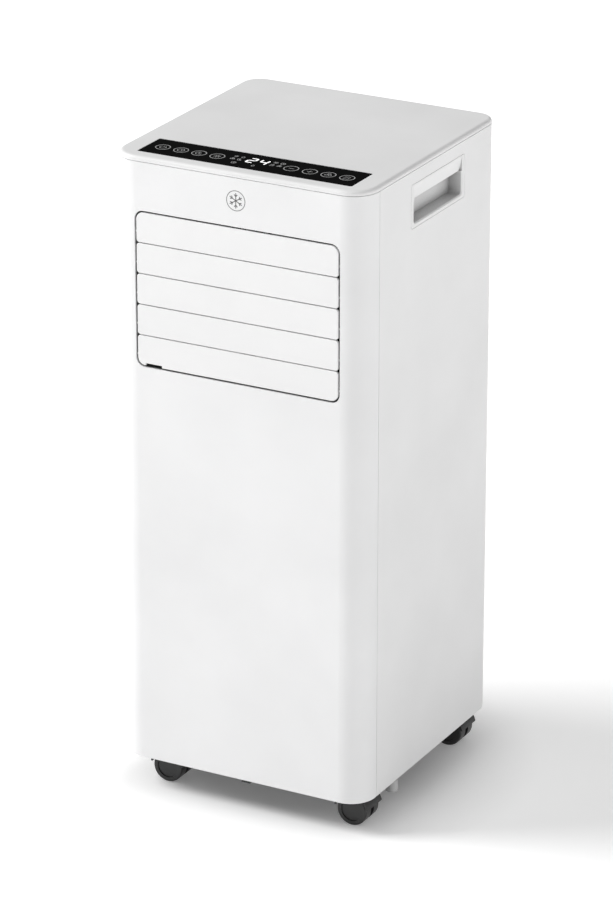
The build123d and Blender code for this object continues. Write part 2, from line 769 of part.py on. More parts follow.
# ---- upper air path
def outlet_duct():
    """Tapers from the blower to the louvre frame, with a finger guard across its mouth."""
    y_front, y_rear = frame_rear_y + duct_gap, scroll_front_y - duct_gap
    scroll_mid_z = (tongue_z + scroll_top_z) / 2

    def taper(extra):
        big = Pos(0, outlet_mid_z) * Rectangle(2 * (frame_half_w + extra),
                                               frame_z[1] - frame_z[0] + 2 * extra)
        small = Pos(0, scroll_mid_z) * Rectangle(2 * (scroll_half_w + extra),
                                                 scroll_top_z - tongue_z + 2 * extra)
        front = Plane((0, y_front, 0), x_dir=(1, 0, 0), z_dir=(0, -1, 0)) * big
        rear = Plane((0, y_rear, 0), x_dir=(1, 0, 0), z_dir=(0, -1, 0)) * small
        return loft([front, rear])

    duct = taper(frame_t) - taper(0)
    half = frame_half_w + frame_t
    guard_y = (y_front, y_front + guard_t)
    step = 2 * frame_half_w / (guard_bars + 1)
    for k in range(1, guard_bars + 1):
        x = -frame_half_w + k * step
        duct = duct + block(x - guard_bar / 2, x + guard_bar / 2, *guard_y,
                            frame_z[0] - frame_t, frame_z[1] + frame_t)
    for z in (outlet_mid_z - guard_rail_z, outlet_mid_z + guard_rail_z):
        duct = duct + block(-half, half, *guard_y, z - guard_bar / 2, z + guard_bar / 2)
    return duct


def volute(cx, cz, r0, start, inset, close_with):
    """A spiral that grows over three quarters of a turn from the start angle, in a plane."""
    steps = 12
    points = []
    for k in range(steps + 1):
        a = math.radians(start + 270 * k / steps)
        r = r0 + scroll_growth * k / steps - inset
        points.append((cx + r * math.cos(a), cz + r * math.sin(a)))
    spiral = Spline(*points)
    rest = Polyline(points[-1], *close_with, points[0])
    return make_face([spiral, rest])


def blower_profile(inset, reach):
    """The blower's volute, seen from the side, open to the front at its top."""
    top = scroll_top_z - inset
    tongue = tongue_z + inset
    left = blower_y - scroll_r0 + inset
    return volute(blower_y, blower_z, scroll_r0, 180, inset,
                  [(reach, top), (reach, tongue), (left, tongue)])


def blower_scroll():
    x = scroll_half_w + scroll_t
    body = plate_yz(blower_profile(-scroll_t, scroll_front_y), -x, x)
    for sx in (-1, 1):
        foot_x = sorted(sx * edge for edge in scroll_foot_x)
        body = body + block(*foot_x, *scroll_foot_y, tray_z + tray_t + rest_gap, blower_z - blower_r)
    body = body - plate_yz(blower_profile(0, scroll_front_y - 5), -scroll_half_w, scroll_half_w)
    return body - rod_x(scroll_inlet_r, -x - 1, x + 1, blower_y, blower_z)


def fan_wheel(r, half_l, plates, ring_places, hub_z):
    """A squirrel-cage fan about Z: a hub centred at hub_z, plates, rings and blades."""
    body = Pos(0, 0, hub_z) * Cylinder(fan_hub_r, fan_hub_l)
    for z in plates:
        body = body + Pos(0, 0, z) * Cylinder(r, fan_plate_t)
    for z in ring_places:
        ring = Cylinder(r, fan_plate_t) - Cylinder(r - wheel_ring_w, fan_plate_t + 1)
        body = body + Pos(0, 0, z) * ring
    blade = Pos(r - fan_blade_in, 0, 0) * Rot(0, 0, fan_blade_turn) * Box(
        fan_blade_chord, fan_blade_t, 2 * half_l)
    blades = [Rot(0, 0, 360 / fan_blade_count * k) * blade for k in range(fan_blade_count)]
    return joined(body, blades)


def blower_wheel():
    """The double-inlet wheel."""
    end = blower_half_w - fan_plate_t / 2
    wheel = fan_wheel(blower_r, end, [0], [-end, end], 0)
    wheel = wheel - Cylinder(shaft_r + press_gap, 200)
    return Pos(0, blower_y, blower_z) * Rot(0, 90, 0) * wheel


def blower_shaft():
    """The shaft that the wheel is pressed on and the motor turns."""
    return rod_x(shaft_r, -fan_hub_l / 2, blower_motor_x[0] + shaft_depth, blower_y, blower_z)


def blower_motor():
    """The motor on the blower's right side, hung from the scroll on three arms."""
    x0, x1 = blower_motor_x
    body = rod_x(blower_motor_r, x0, x1, blower_y, blower_z)
    body = fillet(body.edges().group_by(Axis.X)[-1], motor_edge_r)
    side = scroll_half_w + scroll_t
    foot_r = scroll_inlet_r + arm_foot_out
    root_r = blower_motor_r - arm_w
    mid_x = x0 + arm_t / 2
    for k in range(3):
        arm = Pos(0, (foot_r + root_r) / 2, 0) * Box(arm_t, foot_r - root_r, arm_w)
        foot = Pos((side - mid_x) / 2, foot_r, 0) * Box(mid_x - side, arm_foot_d, arm_w)
        spoke = Rot(30 + 120 * k, 0, 0) * (arm + foot)
        body = body + Pos(mid_x, blower_y, blower_z) * spoke
    bore_end = x0 + shaft_depth + shaft_end_gap
    return body - rod_x(shaft_r + running_gap, x0 - 1, bore_end, blower_y, blower_z)


def drain_tray():
    """The shelf between the cold and the hot side, which catches the evaporator's water."""
    z0 = tray_z
    tray = prism(tray_inset, z0, z0 + tray_t) & slab_y(tray_front_y, rear_y)
    rim = ring_prism(tray_inset, tray_t, z0, z0 + tray_rim_h) & slab_y(tray_front_y, rear_y)
    front = block(-half_w + tray_inset, half_w - tray_inset, tray_front_y,
                  tray_front_y + tray_t, z0, z0 + tray_rim_h)
    tray = tray + rim + front
    tray = tray - block(-half_w, pipe_slot_x, *pipe_slot_y, z0 - 1, z0 + tray_rim_h + 1)
    half = rail_w / 2 + rail_gap
    for x in (-cup_x, cup_x):
        tray = tray - block(x - half, x + half, rail_y[0] - rail_gap, rear_y, z0 - 1,
                            z0 + tray_rim_h + 1)
    return tray


# ---- coils
def tube_zs(z_range):
    """Heights of a coil's tube passes, evenly spaced and centred."""
    z0, z1 = z_range
    count = int((z1 - z0 - tube_pitch) / tube_pitch) + 1
    first = (z0 + z1 - (count - 1) * tube_pitch) / 2
    return [first + k * tube_pitch for k in range(count)]


def coil_fins(y0, z_range):
    """A pack of thin fins and two end plates, pierced by the tube."""
    z0, z1 = z_range
    sketch = Pos(y0 + coil_t / 2, (z0 + z1) / 2) * Rectangle(coil_t, z1 - z0)
    for z in tube_zs(z_range):
        sketch = sketch - Pos(y0 + coil_t / 2, z) * Circle(tube_r + tube_gap)
    count = int(2 * (coil_half_w - fin_pitch) / fin_pitch) + 1
    first = -(count - 1) * fin_pitch / 2
    fin = plate_yz(sketch, 0, fin_t)
    end = plate_yz(sketch, 0, end_plate_t)
    fins = [Pos(first + k * fin_pitch - fin_t / 2, 0, 0) * fin for k in range(count)]
    ends = [Pos(x, 0, 0) * end for x in (-coil_half_w, coil_half_w - end_plate_t)]
    return Compound([*fins, *ends])


def coil_tubes(y0, z_range):
    """The serpentine tube of a coil, one pass above another."""
    y = y0 + coil_t / 2
    side, points = -1, []
    for z in tube_zs(z_range):
        ends = (side * (coil_half_w + bend_reach), -side * (coil_half_w + bend_reach))
        points += [(ends[0], y, z), (ends[1], y, z)]
        side = -side
    return pipe(points, 0.46 * tube_pitch, tube_r)


# ---- lower air path
def exhaust_profile(inset, reach):
    """The exhaust fan's volute, seen from the front, open upwards on its right."""
    right = exhaust_x + exhaust_r0 + scroll_growth - inset
    left = tongue_x + inset
    top = exhaust_z + exhaust_r0 - inset
    return volute(exhaust_x, exhaust_z, exhaust_r0, 90, inset,
                  [(right, reach), (left, reach), (left, top)])


def exhaust_scroll():
    y0, y1 = exhaust_scroll_y
    top = duct_z[0]
    body = plate_xz(exhaust_profile(-scroll_t, top), y0, y1)
    body = body - plate_xz(exhaust_profile(0, top + 5), y0 + scroll_t, y1 - scroll_t)
    body = body - rod_y(exhaust_inlet_r, y1 - scroll_t - 1, y1 + 1, exhaust_x, exhaust_z)
    hub_hole_r = fan_hub_r + hub_clear
    return body - rod_y(hub_hole_r, y0 - 1, y0 + scroll_t + 1, exhaust_x, exhaust_z)


def exhaust_wheel():
    """The single-inlet wheel."""
    y0, y1 = exhaust_y
    half_l = (y1 - y0) / 2
    end = half_l - fan_plate_t / 2
    wheel = fan_wheel(exhaust_r, end, [end], [-end], half_l - fan_hub_l / 2)
    wheel = wheel - Cylinder(shaft_r + press_gap, 200)
    return Pos(exhaust_x, (y0 + y1) / 2, exhaust_z) * Rot(90, 0, 0) * wheel


def exhaust_shaft():
    start = exhaust_motor_y[1] - shaft_depth
    return rod_y(shaft_r, start, exhaust_y[0] + fan_hub_l, exhaust_x, exhaust_z)


def exhaust_motor():
    y0, y1 = exhaust_motor_y
    body = rod_y(exhaust_motor_r, y0, y1, exhaust_x, exhaust_z)
    body = fillet(body.edges().group_by(Axis.Y)[0], motor_edge_r)
    face = exhaust_scroll_y[0]
    for k in range(3):
        a = math.radians(90 + 120 * k)
        x = exhaust_x + stud_out * math.cos(a)
        z = exhaust_z + stud_out * math.sin(a)
        body = body + rod_y(stud_r, y1 - 1, face, x, z)
    bore_end = y1 - shaft_depth - shaft_end_gap
    return body - rod_y(shaft_r + running_gap, bore_end, y1 + 1, exhaust_x, exhaust_z)


def exhaust_duct():
    """The box that turns the hot air from the scroll to the hose port."""
    (x0, x1), (y0, y1), (z0, z1), t = duct_x, duct_y, duct_z, scroll_t
    body = block(x0, x1, y0, y1, z0, z1) - block(x0 + t, x1 - t, y0 + t, y1 + 1, z0 + t, z1 - t)
    right = exhaust_x + exhaust_r0 + scroll_growth
    return body - block(tongue_x, right, exhaust_scroll_y[0] + t, exhaust_scroll_y[1] - t,
                        z0 - 1, z0 + t + 1)


def hose_port():
    """The plate that closes the duct, with the collar that the exhaust hose twists into."""
    y0, y1 = duct_y[1], rear_y - port_sink
    collar = block(*duct_x, y0, y0 + scroll_t, *duct_z) + rod_y(port_r + port_t, y0, y1, 0, port_z)
    collar = collar - rod_y(port_r, y0 - 1, y1 + 1, 0, port_z)
    notch = block(-port_notch_w / 2, port_notch_w / 2, y1 - port_notch_l, y1 + 1,
                  port_r - port_notch_depth, port_r + port_notch_depth)
    for k in range(3):
        collar = collar - Pos(0, 0, port_z) * Rot(0, 60 + 120 * k, 0) * notch
    return collar


# ---- rear grilles
def grille(z_range):
    """A framed grille of level bars, flush with the rear face."""
    z0, z1 = z_range
    mid, h = (z0 + z1) / 2, z1 - z0
    outline = Pos(0, mid) * RectangleRounded(grille_w, h, grille_corner_r - grille_gap)
    window = Pos(0, mid) * Rectangle(grille_w - 2 * grille_frame, h - 2 * grille_frame)
    body = plate_xz(outline - window, rear_y - grille_t, rear_y)
    count = int((h - 2 * grille_frame) / bar_pitch)
    first = mid - (count - 1) * bar_pitch / 2
    half = grille_w / 2 - grille_frame + 1
    bars = [block(-half, half, rear_y - grille_t, rear_y - bar_sink, z - bar_h / 2, z + bar_h / 2)
            for z in (first + k * bar_pitch for k in range(count))]
    brace_y = rear_y - grille_t + brace_bite
    reach = h / 2 - grille_frame + brace_past
    bars += [block(x - brace_w / 2, x + brace_w / 2, brace_y - brace_t, brace_y,
                   mid - reach, mid + reach) for x in brace_xs]
    return joined(body, bars)


def upper_filter():
    """The washable mesh that clips behind the upper grille."""
    z0, z1 = upper_grille_z[0] + filter_in, upper_grille_z[1] - filter_in
    half = grille_w / 2 - filter_in
    y1 = rear_y - grille_t + brace_bite - brace_t - filter_gap
    y0 = y1 - filter_t
    open_x = half - filter_rim
    open_z = (z0 + filter_rim, z1 - filter_rim)
    mesh = block(-half, half, y0, y1, z0, z1) - block(-open_x, open_x, y0 - 1, y1 + 1, *open_z)
    columns = int(2 * open_x / filter_cell)
    rows = int((open_z[1] - open_z[0]) / filter_cell)
    strand = filter_strand / 2
    strands = []
    for k in range(1, columns):
        x = -open_x + k * 2 * open_x / columns
        strands.append(block(x - strand, x + strand, y0, y1, z0 + 1, z1 - 1))
    for k in range(1, rows):
        z = open_z[0] + k * (open_z[1] - open_z[0]) / rows
        strands.append(block(1 - half, half - 1, y0, y1, z - strand, z + strand))
    return joined(mesh, strands)


def cord_gland():
    """The bush in the rear wall where the power cord enters."""
    y1 = rear_y - gland_sink
    body = rod_y(gland_r, y1 - gland_l, y1, gland_x, gland_z)
    inner_y = rear_y - wall
    body = body + rod_y(gland_r + gland_flange_out, inner_y - gland_flange_t, inner_y,
                        gland_x, gland_z)
    return body - rod_y(gland_bore_r, y1 - gland_l - 1, y1 + 1, gland_x, gland_z)


# ---- base
def base_pan():
    """The moulded floor: caster sockets, drain nozzle, compressor pads and coil cradle."""
    inset = wall + pan_gap
    pan = prism(inset, pan_z, pan_z + pan_t)
    pan = pan + ring_prism(inset, pan_rim_t, pan_z, pan_rim_z)
    for sx in (-1, 1):
        for sy in (-1, 1):
            x, y = sx * caster_x, sy * caster_y
            pan = pan + rod_z(socket_r, *socket_z, x, y)
            pan = pan - rod_z(stem_r + socket_gap, socket_z[0] - 1, stem_top_z + stem_end_gap, x, y)
    pan = pan + rod_z(nozzle_r, nozzle_bottom_z, pan_z + 0.1, drain_x, drain_y)
    pan = pan - rod_z(nozzle_bore_r, nozzle_bottom_z - 1, pan_floor_z + 1, drain_x, drain_y)
    y = front_y + inset
    pan = pan + block(catch_x - catch_w / 2, catch_x + catch_w / 2, y, y + catch_d, catch_z,
                      pan_z + 0.1)
    for x in coil_pad_xs:
        pan = pan + block(x - coil_pad_half, x + coil_pad_half, condenser_y + coil_pad_in,
                          condenser_y + coil_t - coil_pad_in, pan_floor_z - 0.1, condenser_z[0])
    rib_y = (exhaust_scroll_y[0] + fan_rib_in, exhaust_scroll_y[1] - fan_rib_in)
    scroll_space = plate_xz(exhaust_profile(-scroll_t - rest_gap, duct_z[0]), *exhaust_scroll_y)
    for x in (exhaust_x - fan_rib_x, exhaust_x + fan_rib_x):
        pan = pan + block(x - fan_rib_half, x + fan_rib_half, *rib_y, pan_floor_z - 0.1,
                          exhaust_z - fan_rib_drop)
    return pan - scroll_space


def drain_plug():
    """The rubber cap on the drain nozzle."""
    r = nozzle_r + running_gap
    z0 = nozzle_bottom_z - plug_wall - 1.5
    body = rod_z(r + plug_wall, z0, nozzle_bottom_z + plug_lap, drain_x, drain_y)
    body = fillet(body.edges().group_by(Axis.Z)[0], 1.2)
    body = body - rod_z(r, nozzle_bottom_z, nozzle_bottom_z + plug_lap + 1, drain_x, drain_y)
    return body + rod_z(nozzle_bore_r - running_gap, nozzle_bottom_z - 0.5, nozzle_bottom_z + 6,
                        drain_x, drain_y)


# ---- casters
def caster_hood(x, y):
    """The swivelling hood of a caster, with its stem."""
    ax = x + caster_trail
    inner = wheel_r + hood_gap
    outer = inner + hood_t
    y0, y1 = y - hood_half_w, y + hood_half_w
    shell = rod_y(outer, y0, y1, ax, axle_z) - rod_y(inner, y0 - 1, y1 + 1, ax, axle_z)
    shell = shell & block(ax - 40, ax + 40, y0, y1, axle_z + 4, hood_top_z)
    web = rod_y(hood_web_r, y - hood_web_t / 2, y + hood_web_t / 2, ax, axle_z)
    rib = rod_y(outer - 0.5, y - hood_web_t / 2, y + hood_web_t / 2, ax, axle_z)
    web = web + (rib & block(ax - 40, ax + 40, y0, y1, axle_z + 4, hood_top_z))
    boss = rod_z(hood_boss_r, axle_z + 8, hood_top_z, x, y) - rod_y(inner, y0, y1, ax, axle_z)
    stem = rod_z(stem_r, hood_top_z - 1, stem_top_z, x, y)
    hood = shell + web + boss + stem
    return hood - rod_y(axle_r + running_gap, y0, y1, ax, axle_z)


def caster_wheels(x, y):
    """Two wheels and the axle they are pressed on."""
    wheel = Cylinder(wheel_r, wheel_t)
    wheel = fillet(wheel.edges().group_by(Axis.Z)[-1], wheel_edge_r)
    face = wheel_t / 2
    wheel = wheel - Pos(0, 0, face) * Cylinder(wheel_dish_r, 2 * wheel_dish)
    bore_l = axle_half_l - wheel_inner + 0.3
    wheel = wheel - Pos(0, 0, -face + bore_l / 2) * Cylinder(axle_r + press_gap, bore_l)
    offset = wheel_inner + wheel_t / 2
    near = Pos(x + caster_trail, y - offset, axle_z) * Rot(90, 0, 0) * wheel
    far = Pos(x + caster_trail, y + offset, axle_z) * Rot(-90, 0, 0) * wheel
    axle = rod_y(axle_r, y - axle_half_l, y + axle_half_l, x + caster_trail, axle_z)
    return Compound([*near.solids(), *far.solids(), axle])


# ---- compressor and pipes
def foot_places():
    return [(comp_x + foot_reach * math.cos(math.radians(a)),
             comp_y + foot_reach * math.sin(math.radians(a))) for a in (30, 150, 270)]


def compressor_shell():
    """The sealed steel can on its three-footed plate."""
    z0, z1 = comp_z
    can = rod_z(comp_r, z0, z1, comp_x, comp_y)
    can = fillet(can.edges().filter_by(GeomType.CIRCLE), comp_dome_r)
    hollow = rod_z(comp_r - comp_wall, z0 + comp_wall, z1 - comp_wall, comp_x, comp_y)
    hollow = fillet(hollow.edges().filter_by(GeomType.CIRCLE), comp_dome_r - comp_wall)
    plate = rod_z(comp_r - comp_dome_r + 4, z0 - foot_t + 1, z0 + 1, comp_x, comp_y)
    for k, (x, y) in enumerate(foot_places()):
        length = foot_reach
        arm = Pos(length / 2, 0, 0) * Box(length, 2 * foot_r, foot_t)
        arm = Pos(comp_x, comp_y, z0 - foot_t / 2 + 1) * Rot(0, 0, 30 + 120 * k) * arm
        plate = plate + arm + rod_z(foot_r, z0 - foot_t + 1, z0 + 1, x, y)
    for x, y in foot_places():
        plate = plate - rod_z(5.0, z0 - 10, z0 + 10, x, y)
    return (can - hollow) + (plate - rod_z(comp_r - comp_dome_r - 2, z0 + 0.5, z0 + 10, comp_x,
                                           comp_y))


def compressor_pump():
    z0 = comp_z[0] + comp_dome_r
    return rod_z(comp_r - comp_wall - press_gap, z0, z0 + pump_h, comp_x, comp_y)


def compressor_feet():
    """Three rubber mounts between the pan and the compressor's plate."""
    z0, z1 = pan_floor_z, comp_z[0] - foot_t + 1
    feet = []
    for x, y in foot_places():
        body = rod_z(grommet_r, z0, z1, x, y) + rod_z(4.9, z1 - 1, z1 + foot_t + 3, x, y)
        feet.append(body - rod_z(3.0, z0 + 4, z1 + 20, x, y))
    return Compound([s for foot in feet for s in foot.solids()])


def accumulator():
    """The suction accumulator and its elbow to the compressor."""
    x, y = accumulator_x, accumulator_y
    z0, z1 = accumulator_z
    body = rod_z(accumulator_r, z0, z1, x, y)
    body = fillet(body.edges().filter_by(GeomType.CIRCLE), 10)
    span = math.hypot(x - comp_x, y - comp_y)
    share = (comp_r + 0.4) / span
    end = (comp_x + (x - comp_x) * share, comp_y + (y - comp_y) * share, z0 - 12)
    elbow = pipe([(x, y, z0 + 1), (x, y, z0 - 12), end], [6], pipe_r)
    return body + elbow


def discharge_pipe():
    """From the compressor's dome to the top of the condenser."""
    top = tube_zs(condenser_z)[-1]
    y = condenser_y + coil_t / 2
    side = -coil_half_w - bend_reach - tube_r - 6
    points = [(comp_x, comp_y, comp_z[1] + 0.3), (comp_x, comp_y, 280), (-96, -20, 284),
              (side, 30, 278), (side, 78, 262), (side, y - 14, top + 14)]
    return pipe(points, [10, 12, 18, 18], pipe_r)


def suction_pipe():
    """From the bottom of the evaporator to the accumulator."""
    low = tube_zs(evaporator_z)[0]
    x = accumulator_x
    points = [(x, accumulator_y, accumulator_z[1] + 0.3), (x, accumulator_y, 268),
              (-30, -12, 276), (-104, 6, 300), (-129, 50, 350), (-129, 60, 450),
              (-129, 84, low + 10)]
    return pipe(points, [12, 16, 18, 20, 16], pipe_r)


def capillary_tube():
    """The thin tube from the condenser to the evaporator, with its drier."""
    low = tube_zs(evaporator_z)[0]
    points = [(-133, 92, 90), (-133, 92, 260), (-135, 72, 300), (-135, 72, 460),
              (-134, 98, low + 6)]
    tube = pipe(points, [14, 14, 8], capillary_r)
    drier = rod_z(6.0, 180, 230, -133, 92)
    return tube + drier


# ---- electrics
def electrical_box():
    (x0, x1), (y0, y1), (z0, z1), t = box_x, box_y, box_z, box_t
    box = block(x0, x1, y0, y1, z0, z1) - block(x0 + t, x1 - t, y0 - 1, y1 - t, z0 + t, z1 - t)
    for x in (x0 + 12, x1 - 20):
        box = box + block(x, x + 8, tray_front_y + 1, y1, z1 - t, tray_z - rest_gap)
    return box


def main_board():
    """The power board with its relays, choke and heat sink."""
    x0, x1 = box_x[0] + 8, box_x[0] + 80
    z0, z1 = box_z[0] + 8, box_z[1] - 8
    y = box_y[1] - box_t - 5
    board = block(x0, x1, y - board_t, y, z0, z1)
    face = y - board_t
    sizes = ((10, 14, 28, 16), (32, 14, 48, 16), (12, 60, 32, 20), (44, 62, 62, 22), (14, 104, 58, 26))
    parts = [block(x0 + a, x0 + b, face - h, face, z0 + c, z0 + c + 16) for a, c, b, h in sizes]
    posts = [rod_y(2.5, y, box_y[1] - box_t, x, z) for x in (x0 + 4, x1 - 4)
             for z in (z0 + 4, z1 - 4)]
    return Compound([board, *parts, *posts])


def run_capacitor():
    x = box_x[1] - box_t - capacitor_r - 2
    y = (box_y[0] + box_y[1]) / 2
    body = rod_z(capacitor_r, box_z[0] + box_t, box_z[0] + box_t + capacitor_h, x, y)
    return fillet(body.edges().group_by(Axis.Z)[-1], 3)


def screw(y_head, direction, x, z):
    """A pan-head screw along Y whose head rests at y_head; direction is the way it points."""
    y_far = y_head + direction * screw_l
    low, high = sorted((y_head, y_far))
    head = sorted((y_head, y_head - direction * screw_head_h))
    return rod_y(screw_r, low, high, x, z) + rod_y(screw_head_r, *head, x, z)


def screws():
    """Every self-tapping screw: ten in the rear panel and four in the louvre frame."""
    made = [screw(cup_floor_y, -1, s * cup_x, z) for s in (-1, 1) for z in cup_zs]
    ear_y = front_y + wall + frame_post_l + frame_ear_t
    made += [screw(ear_y, -1, x, z) for x, z, _ in frame_posts()]
    return Compound([s for one in made for s in one.solids()])


NODES = {
    "base_pan": base_pan,
    "front_panel": front_panel,
    "side_panel_right": lambda: side_panel(1),
    "side_panel_left": lambda: side_panel(-1),
    "rear_panel": rear_panel,
    "top_cover": top_cover,
    "touch_panel": touch_panel,
    "control_board": control_board,
    "display_module": display_module,
    "grip_right": lambda: grip(1),
    "grip_left": lambda: grip(-1),
    "louver_frame": louver_frame,
    "louver_link": louver_link,
    "swing_crank": swing_crank,
    "swing_motor": swing_motor,
    "outlet_duct": outlet_duct,
    "blower_scroll": blower_scroll,
    "blower_wheel": blower_wheel,
    "blower_shaft": blower_shaft,
    "blower_motor": blower_motor,
    "drain_tray": drain_tray,
    "evaporator_fins": lambda: coil_fins(evaporator_y, evaporator_z),
    "evaporator_tubes": lambda: coil_tubes(evaporator_y, evaporator_z),
    "condenser_fins": lambda: coil_fins(condenser_y, condenser_z),
    "condenser_tubes": lambda: coil_tubes(condenser_y, condenser_z),
    "exhaust_scroll": exhaust_scroll,
    "exhaust_wheel": exhaust_wheel,
    "exhaust_shaft": exhaust_shaft,
    "exhaust_motor": exhaust_motor,
    "exhaust_duct": exhaust_duct,
    "hose_port": hose_port,
    "upper_grille": lambda: grille(upper_grille_z),
    "upper_filter": upper_filter,
    "lower_grille": lambda: grille(lower_grille_z),
    "cord_gland": cord_gland,
    "drain_plug": drain_plug,
    "compressor_shell": compressor_shell,
    "compressor_pump": compressor_pump,
    "compressor_feet": compressor_feet,
    "accumulator": accumulator,
    "discharge_pipe": discharge_pipe,
    "suction_pipe": suction_pipe,
    "capillary_tube": capillary_tube,
    "electrical_box": electrical_box,
    "main_board": main_board,
    "run_capacitor": run_capacitor,
    "screws": screws,
}
for number in range(blade_count):
    NODES[f"louver_{number + 1}"] = lambda i=number: louver(i)
for corner, (sx, sy) in {"fl": (-1, -1), "fr": (1, -1), "rl": (-1, 1), "rr": (1, 1)}.items():
    place = (sx * caster_x, sy * caster_y)
    NODES[f"caster_hood_{corner}"] = lambda p=place: caster_hood(*p)
    NODES[f"caster_wheels_{corner}"] = lambda p=place: caster_wheels(*p)

os.makedirs("parts", exist_ok=True)
for name, make in NODES.items():
    export_step(make(), f"parts/{name}.step")
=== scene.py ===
import json
import math

import bmesh
import bpy
from mathutils import Matrix, Vector

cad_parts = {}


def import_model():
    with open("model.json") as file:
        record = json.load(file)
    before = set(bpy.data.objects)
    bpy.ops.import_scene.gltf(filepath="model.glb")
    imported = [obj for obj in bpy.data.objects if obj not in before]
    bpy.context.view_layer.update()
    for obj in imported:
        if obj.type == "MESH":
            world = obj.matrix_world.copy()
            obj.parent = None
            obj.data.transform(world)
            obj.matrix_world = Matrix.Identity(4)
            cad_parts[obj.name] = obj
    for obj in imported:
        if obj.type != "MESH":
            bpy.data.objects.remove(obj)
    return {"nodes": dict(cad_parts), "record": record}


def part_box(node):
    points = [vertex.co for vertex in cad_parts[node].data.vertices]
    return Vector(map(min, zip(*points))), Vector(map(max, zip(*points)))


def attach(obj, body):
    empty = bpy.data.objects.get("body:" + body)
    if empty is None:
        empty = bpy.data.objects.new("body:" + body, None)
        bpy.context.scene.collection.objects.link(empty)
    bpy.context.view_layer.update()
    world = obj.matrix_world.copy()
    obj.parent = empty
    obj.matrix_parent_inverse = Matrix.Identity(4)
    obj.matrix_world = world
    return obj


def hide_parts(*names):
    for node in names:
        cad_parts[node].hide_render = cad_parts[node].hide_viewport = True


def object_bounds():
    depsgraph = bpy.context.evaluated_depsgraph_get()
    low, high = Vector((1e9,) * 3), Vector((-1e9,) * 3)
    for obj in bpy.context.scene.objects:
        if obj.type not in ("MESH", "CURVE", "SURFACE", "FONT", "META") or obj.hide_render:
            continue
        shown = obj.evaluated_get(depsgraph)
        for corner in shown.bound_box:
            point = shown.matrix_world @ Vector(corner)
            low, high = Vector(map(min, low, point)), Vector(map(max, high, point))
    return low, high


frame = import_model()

MM = 0.001
cad_bounds = [list(corner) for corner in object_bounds()]
low, high = (Vector(corner) for corner in cad_bounds)
nodes = frame["nodes"]


# ---------------------------------------------------------------- materials
def srgb(value):
    """An sRGB level from 0 to 255 as the linear level that the shader takes."""
    c = value / 255
    return c / 12.92 if c <= 0.04045 else ((c + 0.055) / 1.055) ** 2.4


def grey(value, tint=(1.0, 1.0, 1.0)):
    """A colour from an sRGB level from 0 to 255 and a factor for each channel."""
    return tuple(srgb(value) * t for t in tint) + (1.0,)


def new_material(name):
    """A material, its shader and a function that adds linked nodes."""
    material = bpy.data.materials.new(name)
    material.use_nodes = True
    tree = material.node_tree
    shader = tree.nodes["Principled BSDF"]

    def add(kind, inputs=None, **settings):
        node = tree.nodes.new(kind)
        for key, value in settings.items():
            setattr(node, key, value)
        for socket, value in (inputs or {}).items():
            if isinstance(value, bpy.types.NodeSocket):
                tree.links.new(value, node.inputs[socket])
            else:
                node.inputs[socket].default_value = value
        return node

    return material, tree, shader, add


def object_noise(add, scale, detail=2.0):
    """Noise fixed to the piece, with features about 1 / scale metres across."""
    place = add("ShaderNodeTexCoord").outputs["Object"]
    return add("ShaderNodeTexNoise", {"Vector": place, "Scale": scale,
                                      "Detail": detail}).outputs["Fac"]


def spread(add, value, low_to, high_to, low_from=0.3, high_from=0.7):
    """Turns a noise value into a range of another size."""
    return add("ShaderNodeMapRange", {"Value": value, "From Min": low_from, "From Max": high_from,
                                      "To Min": low_to, "To Max": high_to}).outputs["Result"]


def edge_mask(add, radius):
    """1 along convex and concave edges, 0 on open faces."""
    bent = add("ShaderNodeBevel", {"Radius": radius}, samples=4).outputs["Normal"]
    flat = add("ShaderNodeNewGeometry").outputs["Normal"]
    dot = add("ShaderNodeVectorMath", {0: bent, 1: flat}, operation="DOT_PRODUCT")
    return spread(add, dot.outputs["Value"], 1.0, 0.0, 0.80, 0.995)


def mix_colour(add, factor, first, second):
    """The first colour where factor is 0 and the second where it is 1."""
    node = add("ShaderNodeMix", {"Factor": factor}, data_type="RGBA")
    for socket, value in ((node.inputs[6], first), (node.inputs[7], second)):
        if isinstance(value, bpy.types.NodeSocket):
            node.id_data.links.new(value, socket)
        else:
            socket.default_value = value
    return node.outputs[2]


def hollow_mask(add, reach):
    """1 deep in a recess, 0 on an open face; reach is how far off a wall still counts."""
    open_share = add("ShaderNodeAmbientOcclusion", {"Distance": reach}, samples=8).outputs["AO"]
    return spread(add, open_share, 1.0, 0.0, 0.25, 0.85)


DRIFT_SCALE = 7.0        # slow colour drift, patches per metre
DRIFT_SHADE = 0.94       # of the colour in the darker patches
WEAR_SCALE = 90.0
WEAR_SHARE = (0.15, 0.9)
GLOSS_SCALE = 35.0
GLOSS_CHANGE = 0.05
# reach in metres of the painted shade that darkens recesses
PAINTED_SHADE_REACH = 0.03


